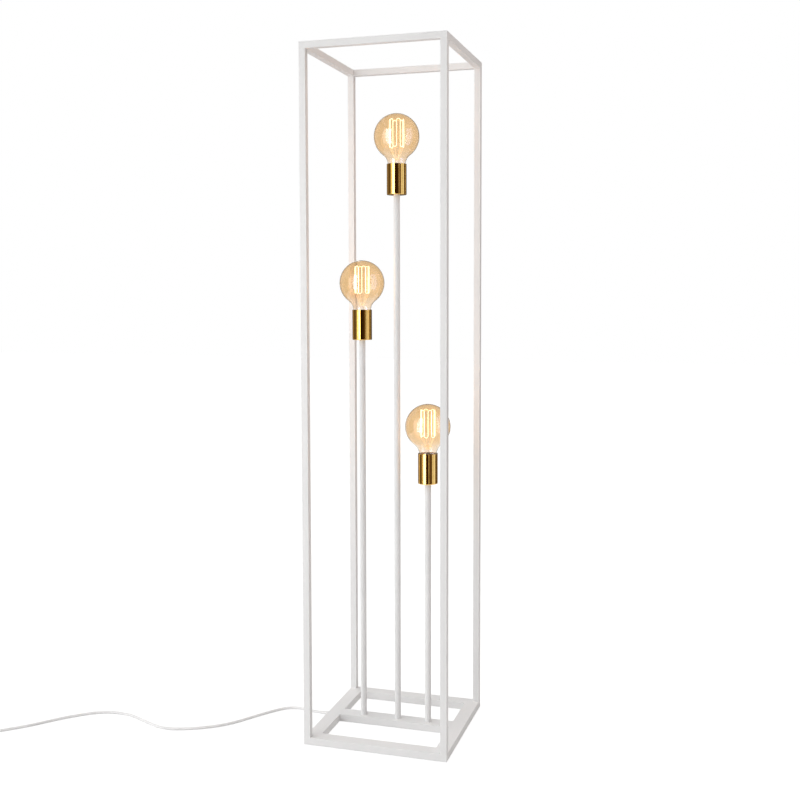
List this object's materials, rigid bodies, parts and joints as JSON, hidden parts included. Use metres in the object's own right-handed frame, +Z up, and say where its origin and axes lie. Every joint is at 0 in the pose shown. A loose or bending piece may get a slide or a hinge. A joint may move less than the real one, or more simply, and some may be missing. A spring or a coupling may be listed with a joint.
{
  "type": "floor lamp",
  "caption": "Tall open cage of square steel tube on a flat rail base, with round stems of different heights, brass cup holders and globe filament bulbs, and a corded foot switch.",
  "frame": {"origin": "on the floor, at the middle of the square base", "axes": "+Z up, +X to the right along the front, +Y from the front to the back"},
  "size_m": [1.1335, 0.5358, 1.411],
  "materials": {
    "white_powder_coat": "fine white powder coat",
    "polished_brass": "polished",
    "amber_glass": "clear amber-tinted",
    "clear_glass": "clear",
    "glowing_filament": "lit carbon-style filament",
    "support_wire": "drawn wire",
    "cap_brass": "rolled",
    "cap_insulator": "vitreous black with a soldered contact",
    "contact_brass": "sheet",
    "holder_ceramic": "dark heat-proof moulding",
    "zinc_plated_steel": "zinc plated",
    "pad_rubber": "pale",
    "white_cord": "smooth sheath",
    "white_plastic": "satin moulded",
    "contact_block": "moulded",
    "nickel_pins": "nickel plated"
  },
  "bodies": {
    "root": {"bottom_rail_front": "white_powder_coat", "bottom_rail_back": "white_powder_coat", "bottom_rail_left": "white_powder_coat", "bottom_rail_right": "white_powder_coat", "top_rail_front": "white_powder_coat", "top_rail_back": "white_powder_coat", "top_rail_left": "white_powder_coat", "top_rail_right": "white_powder_coat", "post_front_left": "white_powder_coat", "post_front_right": "white_powder_coat", "post_back_left": "white_powder_coat", "post_back_right": "white_powder_coat", "crossbar": "white_powder_coat", "crossbar_cover": "white_powder_coat", "stem_tube_left": "white_powder_coat", "stem_tube_centre": "white_powder_coat", "stem_tube_right": "white_powder_coat", "foot_pads": "pad_rubber", "cover_screws": "zinc_plated_steel", "threaded_nipples": "zinc_plated_steel", "locknuts": "zinc_plated_steel", "holder_bases": "zinc_plated_steel", "screw_shells": "contact_brass", "centre_contacts": "contact_brass", "holder_cup_left": "polished_brass", "holder_body_left": "holder_ceramic", "holder_cup_centre": "polished_brass", "holder_body_centre": "holder_ceramic", "holder_cup_right": "polished_brass", "holder_body_right": "holder_ceramic", "cord_bush": "white_plastic", "cord_lead": "white_cord", "cord_coil": "white_cord", "switch_base": "white_plastic", "switch_cover": "white_plastic", "plug_body": "white_plastic", "switch_contacts": "contact_block", "terminal_block": "contact_block", "plug_pins": "nickel_pins", "inner_wiring": "white_cord"},
    "bulb_tip_body_left": {"bulb_tip_left": "cap_insulator"},
    "bulb_body_left": {"bulb_glass_left": "amber_glass", "bulb_cap_left": "cap_brass", "bulb_mount_left": "clear_glass", "bulb_filament_left": "glowing_filament", "bulb_wires_left": "support_wire"},
    "bulb_tip_body_centre": {"bulb_tip_centre": "cap_insulator"},
    "bulb_body_centre": {"bulb_glass_centre": "amber_glass", "bulb_cap_centre": "cap_brass", "bulb_mount_centre": "clear_glass", "bulb_filament_centre": "glowing_filament", "bulb_wires_centre": "support_wire"},
    "bulb_tip_body_right": {"bulb_tip_right": "cap_insulator"},
    "bulb_body_right": {"bulb_glass_right": "amber_glass", "bulb_cap_right": "cap_brass", "bulb_mount_right": "clear_glass", "bulb_filament_right": "glowing_filament", "bulb_wires_right": "support_wire"},
    "button": {"switch_button": "white_plastic"}
  },
  "joints": [
    {"name": "bulb_left_rise", "type": "slide", "parent": "root", "child": "bulb_tip_body_left", "axis": [0, 0, 1], "range_m": [0, 0.0182]},
    {"name": "bulb_left_turn", "type": "hinge", "parent": "bulb_tip_body_left", "child": "bulb_body_left", "pos_m": [-0.072, 0, 0.8497], "axis": [0, 0, 1], "range_deg": [0, 1800]},
    {"name": "bulb_centre_rise", "type": "slide", "parent": "root", "child": "bulb_tip_body_centre", "axis": [0, 0, 1], "range_m": [0, 0.0182]},
    {"name": "bulb_centre_turn", "type": "hinge", "parent": "bulb_tip_body_centre", "child": "bulb_body_centre", "pos_m": [0.0045, 0, 1.1497], "axis": [0, 0, 1], "range_deg": [0, 1800]},
    {"name": "bulb_right_rise", "type": "slide", "parent": "root", "child": "bulb_tip_body_right", "axis": [0, 0, 1], "range_m": [0, 0.0182]},
    {"name": "bulb_right_turn", "type": "hinge", "parent": "bulb_tip_body_right", "child": "bulb_body_right", "pos_m": [0.071, 0, 0.5517], "axis": [0, 0, 1], "range_deg": [0, 1800]},
    {"name": "switch_press", "type": "slide", "parent": "root", "child": "button", "axis": [0, 0, -1], "range_m": [0, 0.0025], "stiffness_N_per_m": 400, "springref_m": -0.001}
  ],
  "couplings": [
    {"joint": "bulb_left_rise", "follows": "bulb_left_turn", "m_per_rad": 0.00057615},
    {"joint": "bulb_centre_rise", "follows": "bulb_centre_turn", "m_per_rad": 0.00057615},
    {"joint": "bulb_right_rise", "follows": "bulb_right_turn", "m_per_rad": 0.00057615}
  ]
}
